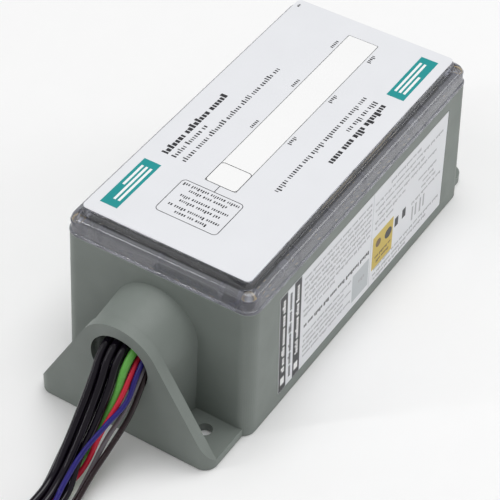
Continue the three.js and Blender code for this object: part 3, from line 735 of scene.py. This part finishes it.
# ---- labels --------------------------------------------------------------------------------------
FILM_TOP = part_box("top_label")[1].z / MM


# These turn a label's own (u, v) and a height above its film into a point in mm.
def on_top(u, v, height):
    return u, v + BODY_Y, FILM_TOP + height


def on_top_along(u, v, height):
    return on_top(v, u, height)


def on_side(u, v, height):
    wall = FOOT_X + (SEAM_HALF[0] - FOOT_X) * v / SEAM_Z
    return wall + height - SIDE_SINK, u + BODY_Y, v


def on_side_upward(u, v, height):
    return on_side(v, u, height)


def printed(name, look, slot, *groups):
    """One ink's print; each group is a placing function, a list of outlines and the thickness."""
    skin = mesh_piece(name, *merged([prisms(outlines, place, thick) for place, outlines, thick in groups]))
    finish_piece(skin, look, slot)


def top_label_print():
    """Two titles that face opposite ways, marks at the lamps, a framed note and the coloured blocks."""
    lines = []
    for side, seed in ((1, 10), (-1, 20)):
        for row, (end, x, height, weight) in enumerate(TITLE_ROWS):
            lines += dashes(-side * TITLE_START, side * end, side * x, height, seed + row, -side, weight)
        for y in MODE_Y:
            start, end = y - side * MODE_BEFORE, y + side * MODE_AFTER
            lines += dashes(start, end, side * MODE_X, MODE_HEIGHT, seed + 3, -side, SMALL_WEIGHT)
    lines += dashes(*CORNER_MARK, 5, -1)
    marks = frame_line(-STRIP_HALF, STRIP_HALF, *STRIP_END, STRIP_CORNER, LINE)
    marks += frame_line(-NOTE_HALF, NOTE_HALF, *NOTE_BOX, NOTE_CORNER, LINE)
    marks.append(rectangle(-LINE / 2, LINE / 2, NOTE_BOX[1], STRIP_END[0]))
    for row, (y, half) in enumerate(NOTE_ROWS):
        marks += dashes(half, -half, y, NOTE_HEIGHT, 40 + row, -1, SMALL_WEIGHT)
    printed("top_label_text", "ink", "label", (on_top_along, lines, PRINT), (on_top, marks, PRINT))
    blocks, bars = [], []
    for side in (-1, 1):
        blocks.append(rectangle(*sorted(side * x for x in BLOCK_X), *sorted(side * y for y in BLOCK_Y)))
        for x, end in BARS:
            start, end = sorted((side * BAR_START, side * end))
            bars.append(rectangle(start, end, side * x - BAR_HALF, side * x + BAR_HALF))
    printed("top_label_blocks", "teal", "label", (on_top, blocks, PRINT))
    printed("top_label_bars", "white", "label", (on_top_along, bars, 2 * PRINT))


def disc(u, v, radius_u, radius_v, count=20):
    angles = [i * 2 * math.pi / count for i in range(count)]
    return [(u + radius_u * math.cos(a), v + radius_v * math.sin(a)) for a in angles]


def side_label_print():
    """Dark bands with rows along them, blocks of text, a grey box and a yellow sticker."""
    bands = [rectangle(*band, *PRINT_Z) for band in BANDS]
    printed("side_label_bands", "ink", "side_label", (on_side, bands, PRINT))
    on_bands = []
    for row, y in enumerate(BAND_ROWS):
        on_bands += dashes(*BAND_ROW_Z, y - BAND_ROW_INSET, BAND_ROW_HEIGHT, 60 + row, -1)
        on_bands.append(rectangle(*BAND_MARK_Z, y + BAND_MARK_Y[0], y + BAND_MARK_Y[1]))
    printed("side_label_band_marks", "white", "side_label", (on_side_upward, on_bands, 2 * PRINT))
    text = []
    for seed, height, rows in SIDE_TEXT:
        for row, (z, start, end) in enumerate(rows):
            text += dashes(start, end, z, height, seed + row, -1)
    low, high = UPRIGHT_BAR_Z
    for row, y in enumerate(UPRIGHT_BARS_Y):
        text.append(rectangle(y, y + UPRIGHT_BAR_WIDTH, low + row % 2, high))
    printed("side_label_text", "grey_ink", "side_label", (on_side, text, PRINT))
    bold = dashes(*BOLD_ROW, 110, -1)
    bold += [rectangle(*bar, *APPROVAL_Z) for bar in APPROVAL_BARS]
    between_bands = dashes(*BETWEEN_ROW, 120, -1)
    dark_disc, brown_disc = STICKER_DISCS
    printed("side_label_bold_text", "ink", "side_label", (on_side, bold, PRINT),
            (on_side_upward, between_bands, PRINT), (on_side, [disc(*dark_disc)], 3 * PRINT))
    printed("side_label_box", "pale_grey_ink", "side_label",
            (on_side, [rectangle(*GREY_BOX), rectangle(*DIVIDER)], PRINT))
    printed("side_label_box_marks", "grey_ink", "side_label",
            (on_side, dashes(*GREY_BOX_ROW, 130, -1), 2 * PRINT))
    printed("side_label_sticker", "yellow", "side_label", (on_side, [rectangle(*STICKER)], 2 * PRINT))
    on_sticker = [disc(*brown_disc, 14)]
    for row, place in enumerate(STICKER_ROWS):
        on_sticker += dashes(*place, 140 + row, -1)
    printed("side_label_sticker_marks", "umber", "side_label", (on_side, on_sticker, 3 * PRINT))


dressed_node("top_label", "film")
dressed_node("indicator_window", "white")
dressed_node("side_label", "film")
top_label_print()
side_label_print()
